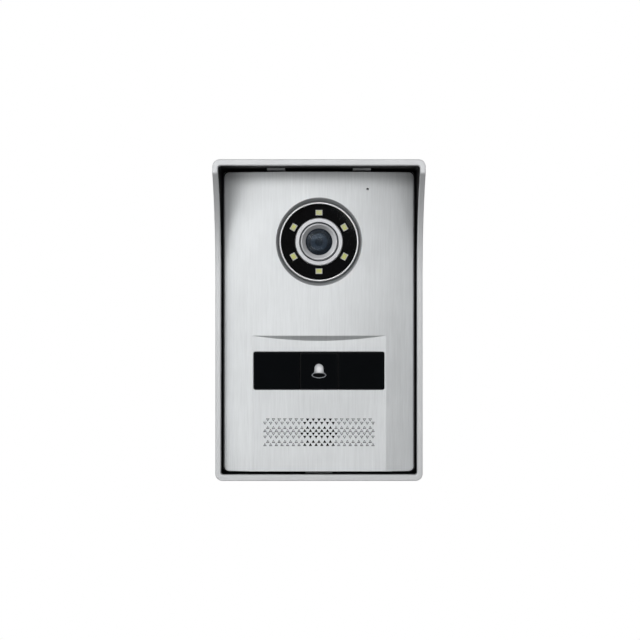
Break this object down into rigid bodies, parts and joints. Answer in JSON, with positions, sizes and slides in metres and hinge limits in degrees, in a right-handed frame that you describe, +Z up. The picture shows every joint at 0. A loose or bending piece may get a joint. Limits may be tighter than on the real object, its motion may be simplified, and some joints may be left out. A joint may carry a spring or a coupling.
{
  "type": "door intercom station",
  "caption": "Wall-mounted door intercom with camera, white light ring, call button and loudspeaker grille under a deep rain hood.",
  "frame": {"origin": "centre of the rain hood's back face, on the wall plane", "axes": "+Y points out of the back into the wall, the front faces -Y; +Z is up; +X is to the right seen from the front"},
  "size_m": [0.1064, 0.053, 0.1632],
  "materials": {
    "silver_paint": "fine satin silver powder coat",
    "liner_black": "matt black",
    "gasket_foam": "closed cell foam",
    "bracket_steel": "dull zinc plated",
    "screw_steel": "zinc plated",
    "panel_aluminium": "brushed, upright grain",
    "frame_plastic": "fine black texture",
    "case_plastic": "fine dark texture",
    "seal_rubber": "satin",
    "bezel_metal": "turned and polished",
    "ring_clear": "clear, polished",
    "mask_black": "matt black",
    "board_black": "black solder mask",
    "led_white": "white",
    "phosphor": "yellow phosphor gel",
    "lens_metal": "turned, satin",
    "barrel_black": "matt black",
    "lens_glass": "coated",
    "chip_black": "moulded black",
    "board_green": "green solder mask",
    "gloss_black": "polished black",
    "sign_white": "milky white",
    "spring_steel": "bright wire",
    "speaker_steel": "zinc plated",
    "magnet_grey": "ground",
    "cone_black": "treated paper",
    "mesh_black": "woven acoustic cloth",
    "wire_red": "wire sleeve",
    "capacitor_blue": "sleeved can",
    "relay_blue": "moulded blue",
    "terminal_green": "moulded green",
    "ribbon_amber": "polyimide film",
    "acetal_white": "natural acetal"
  },
  "bodies": {
    "station": {"rain_hood": "silver_paint", "hood_liner": "liner_black", "wall_gasket": "gasket_foam", "mounting_bracket": "bracket_steel", "bracket_screws": "screw_steel", "security_screw": "screw_steel", "front_panel": "panel_aluminium", "panel_gasket": "gasket_foam", "front_frame": "frame_plastic", "rear_case": "case_plastic", "case_seal": "seal_rubber", "case_screws": "screw_steel", "camera_bezel": "bezel_metal", "camera_seal": "gasket_foam", "ring_window": "ring_clear", "led_mask": "mask_black", "led_board": "board_black", "led_packages": "led_white", "led_phosphors": "phosphor", "lens_shroud": "lens_metal", "lens_retainer": "lens_metal", "lens_barrel": "barrel_black", "lens_front_glass": "lens_glass", "lens_rear_glass": "lens_glass", "lens_mount": "chip_black", "camera_board": "board_green", "image_sensor": "chip_black", "small_screws": "screw_steel", "button_springs": "spring_steel", "tact_switch": "chip_black", "keypad_board": "board_green", "keypad_leds": "led_white", "left_window": "gloss_black", "right_window": "gloss_black", "speaker_frame": "speaker_steel", "speaker_magnet": "magnet_grey", "speaker_cone": "cone_black", "speaker_gasket": "gasket_foam", "speaker_mesh": "mesh_black", "speaker_leads": "wire_red", "microphone": "speaker_steel", "mic_boot": "gasket_foam", "main_board": "board_green", "board_chips": "chip_black", "capacitors": "capacitor_blue", "door_relay": "relay_blue", "terminal_block": "terminal_green", "terminal_screws": "screw_steel", "board_screws": "screw_steel", "cable_grommet": "seal_rubber", "camera_ribbon": "ribbon_amber", "tamper_switch": "chip_black", "tamper_spring": "spring_steel"},
    "call_button": {"call_button": "gloss_black", "bell_light_guide": "sign_white", "switch_plunger": "chip_black"},
    "tamper_plunger": {"tamper_plunger": "acetal_white"}
  },
  "joints": [
    {"name": "call_button_press", "type": "slide", "parent": "station", "child": "call_button", "axis": [0, 1, 0], "range_m": [0, 0.0008], "stiffness_N_per_m": 800, "springref_m": -0.001, "deforming": ["button_springs"]},
    {"name": "tamper_plunger_slide", "type": "slide", "parent": "station", "child": "tamper_plunger", "axis": [0, 1, 0], "range_m": [0, 0.0012], "stiffness_N_per_m": 400, "springref_m": 0.002, "deforming": ["tamper_spring"]}
  ]
}
